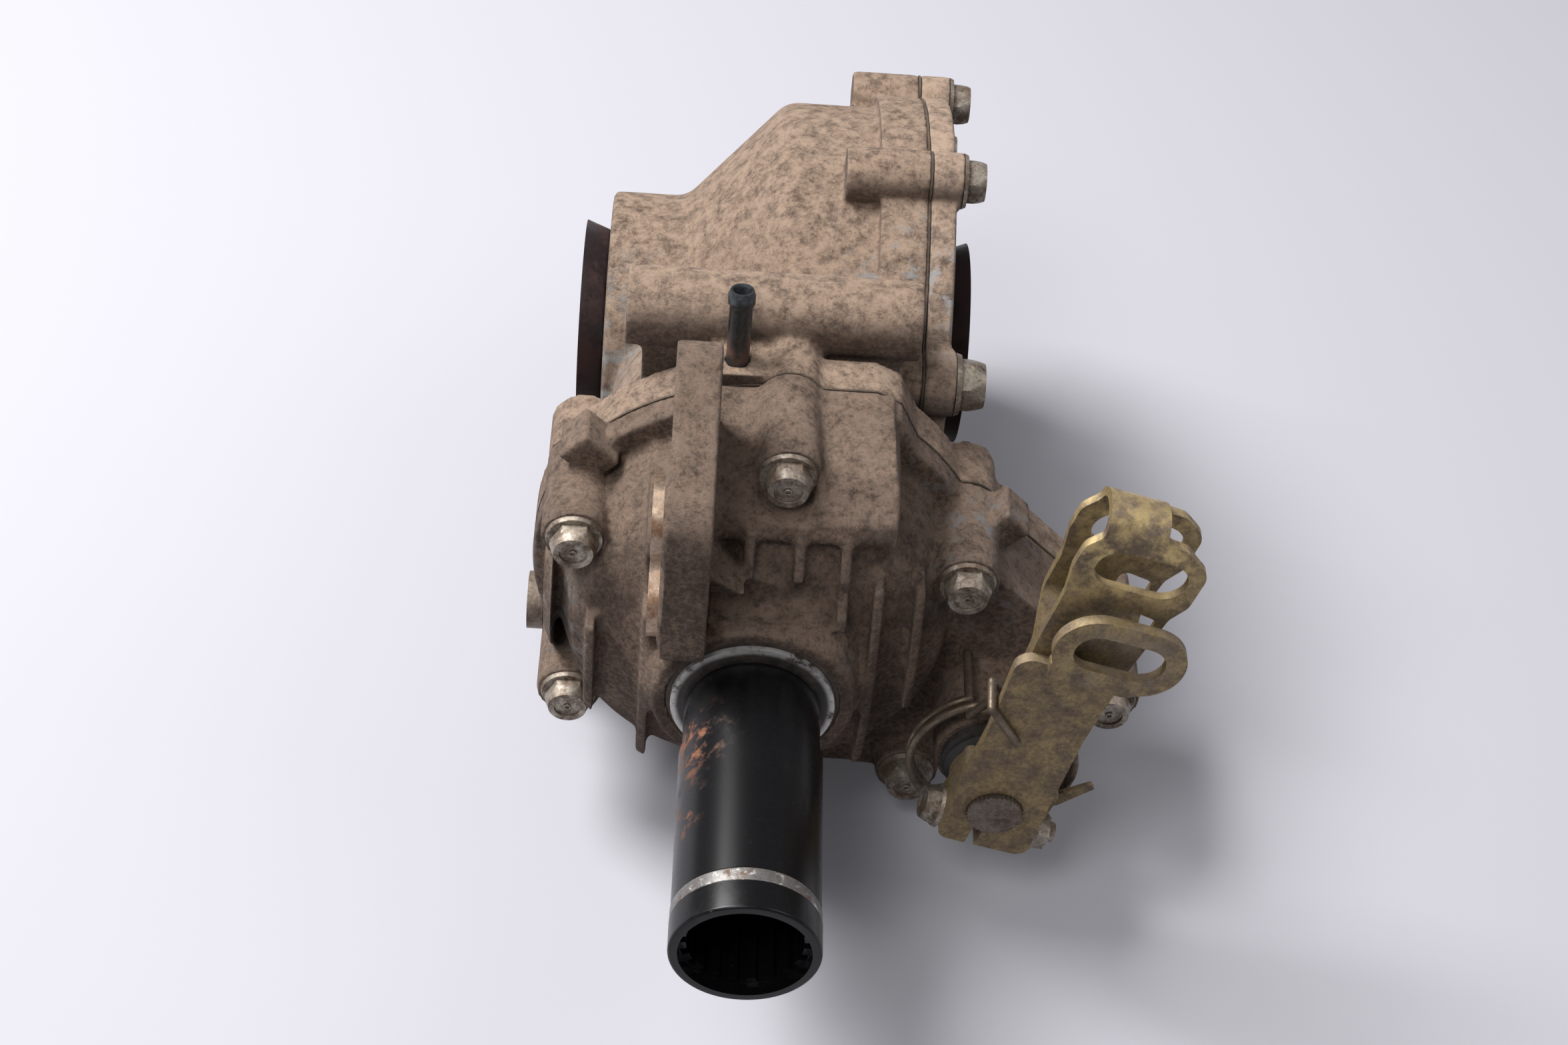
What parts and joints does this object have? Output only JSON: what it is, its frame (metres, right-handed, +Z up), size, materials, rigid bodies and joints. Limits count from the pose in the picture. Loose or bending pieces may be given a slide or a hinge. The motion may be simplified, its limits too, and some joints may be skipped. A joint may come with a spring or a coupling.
{
  "type": "rear differential",
  "caption": "Rear final drive with a splined input sleeve, cross axle outputs, a wet brake with a sprung cable lever, mounting tube, lug and feet.",
  "frame": {"origin": "centre of the upper mounting tube's bore", "axes": "+X along the output axis toward the side cover, -Y along the input sleeve toward its mouth, +Z up"},
  "size_m": [0.1858, 0.3295, 0.1775],
  "materials": {
    "case_casting": "as-cast, weathered with dried dirt",
    "cover_casting": "as-cast, weathered with brown dirt",
    "side_cover_casting": "as-cast, weathered",
    "gasket_fibre": "matt fibre gasket",
    "zinc_bolts": "zinc plated, worn",
    "large_bolt": "zinc plated, worn",
    "dowel_steel": "ground",
    "breather_steel": "dark plated, rusty foot",
    "plug_steel": "plated, worn",
    "bushing_steel": "bright bore, rusty rim",
    "seal_rubber": "oily nitrile rubber",
    "guard_rubber": "dark rubber",
    "bearing_steel": "ground",
    "lock_ring_steel": "machined",
    "sleeve_black": "gloss black, scratched and rusty",
    "band_steel": "rolled band",
    "disc_steel": "worn rim",
    "shaft_steel": "machined",
    "hub_steel": "machined",
    "friction_lining": "oily paper lining",
    "plate_steel": "ground",
    "cam_steel": "hardened",
    "lever_zinc": "yellow zinc, brown patina",
    "boot_rubber": "matt rubber",
    "spring_steel": "dark spring wire",
    "gear_steel": "hardened and lapped",
    "carrier_iron": "machined casting",
    "washer_bronze": "bronze"
  },
  "bodies": {
    "housing": {"main_case": "case_casting", "front_cover": "cover_casting", "side_cover": "side_cover_casting", "front_cover_gasket": "gasket_fibre", "side_cover_gasket": "gasket_fibre", "front_cover_bolts": "zinc_bolts", "side_cover_bolts": "zinc_bolts", "side_cover_large_bolt": "large_bolt", "side_cover_dowels": "dowel_steel", "breather_tube": "breather_steel", "oil_level_plug": "plug_steel", "lug_bushing_upper": "bushing_steel", "lug_bushing_lower": "bushing_steel", "input_seal": "seal_rubber", "left_output_seal": "seal_rubber", "right_output_seal": "seal_rubber", "left_dust_guard": "guard_rubber", "right_dust_guard": "guard_rubber", "front_bearing_outer": "bearing_steel", "pinion_bearing_outer": "bearing_steel", "left_bearing_outer": "bearing_steel", "right_bearing_outer": "bearing_steel", "pinion_lock_ring": "lock_ring_steel", "camshaft_boot": "boot_rubber", "steel_plates": "plate_steel"},
    "input_shaft": {"input_sleeve": "sleeve_black", "sleeve_band": "band_steel", "dust_disc": "disc_steel", "pinion_nut": "shaft_steel", "pinion_shaft": "gear_steel", "front_bearing_inner": "bearing_steel", "pinion_bearing_inner": "bearing_steel", "brake_hub": "hub_steel", "friction_discs": "friction_lining"},
    "carrier": {"ring_gear": "gear_steel", "ring_gear_bolts": "zinc_bolts", "differential_case": "carrier_iron", "cross_pin": "shaft_steel", "left_bearing_inner": "bearing_steel", "right_bearing_inner": "bearing_steel", "left_thrust_washer": "washer_bronze", "right_thrust_washer": "washer_bronze"},
    "left_output": {"left_side_gear": "gear_steel"},
    "right_output": {"right_side_gear": "gear_steel"},
    "upper_spider": {"upper_spider_gear": "gear_steel"},
    "lower_spider": {"lower_spider_gear": "gear_steel"},
    "brake_lever": {"brake_camshaft": "cam_steel", "lever_arm": "lever_zinc", "cable_loop": "lever_zinc", "cable_yoke": "lever_zinc", "clamp_bolt": "zinc_bolts", "clamp_nut": "zinc_bolts", "wear_pointer": "lever_zinc", "return_spring": "spring_steel"},
    "brake_cam_ring": {"cam_ring": "cam_steel"},
    "brake_pressure_plate": {"pressure_plate": "plate_steel"}
  },
  "joints": [
    {"name": "carrier_spin", "type": "hinge", "parent": "housing", "child": "carrier", "pos_m": [0, 0.073, -0.071], "axis": [1, 0, 0], "continuous": true},
    {"name": "input_spin", "type": "hinge", "parent": "housing", "child": "input_shaft", "pos_m": [0, 0, -0.071], "axis": [0, 1, 0], "continuous": true},
    {"name": "left_output_spin", "type": "hinge", "parent": "carrier", "child": "left_output", "pos_m": [0, 0.073, -0.071], "axis": [1, 0, 0], "continuous": true},
    {"name": "right_output_spin", "type": "hinge", "parent": "carrier", "child": "right_output", "pos_m": [0, 0.073, -0.071], "axis": [1, 0, 0], "continuous": true},
    {"name": "upper_spider_spin", "type": "hinge", "parent": "carrier", "child": "upper_spider", "pos_m": [0, 0.073, -0.071], "axis": [0, 0, 1], "continuous": true},
    {"name": "lower_spider_spin", "type": "hinge", "parent": "carrier", "child": "lower_spider", "pos_m": [0, 0.073, -0.071], "axis": [0, 0, -1], "continuous": true},
    {"name": "brake_lever_swing", "type": "hinge", "parent": "housing", "child": "brake_lever", "pos_m": [0.072, -0.074, -0.102], "axis": [0, -1, 0], "range_deg": [0, 30], "stiffness_Nm_per_rad": 1.2, "springref_deg": -20.05, "deforming": ["return_spring"]},
    {"name": "cam_ring_turn", "type": "hinge", "parent": "housing", "child": "brake_cam_ring", "pos_m": [0, -0.028, -0.071], "axis": [0, 1, 0], "range_deg": [0, 18]},
    {"name": "pressure_plate_slide", "type": "slide", "parent": "housing", "child": "brake_pressure_plate", "axis": [0, -1, 0], "range_m": [0, 0.0015]}
  ],
  "couplings": [
    {"joint": "input_spin", "follows": "carrier_spin", "ratio": 3.3636},
    {"joint": "right_output_spin", "follows": "left_output_spin", "ratio": -1},
    {"joint": "upper_spider_spin", "follows": "left_output_spin", "ratio": 1.6},
    {"joint": "lower_spider_spin", "follows": "left_output_spin", "ratio": 1.6},
    {"joint": "cam_ring_turn", "follows": "brake_lever_swing", "ratio": 0.6},
    {"joint": "pressure_plate_slide", "follows": "brake_lever_swing", "m_per_rad": 0.002864}
  ]
}
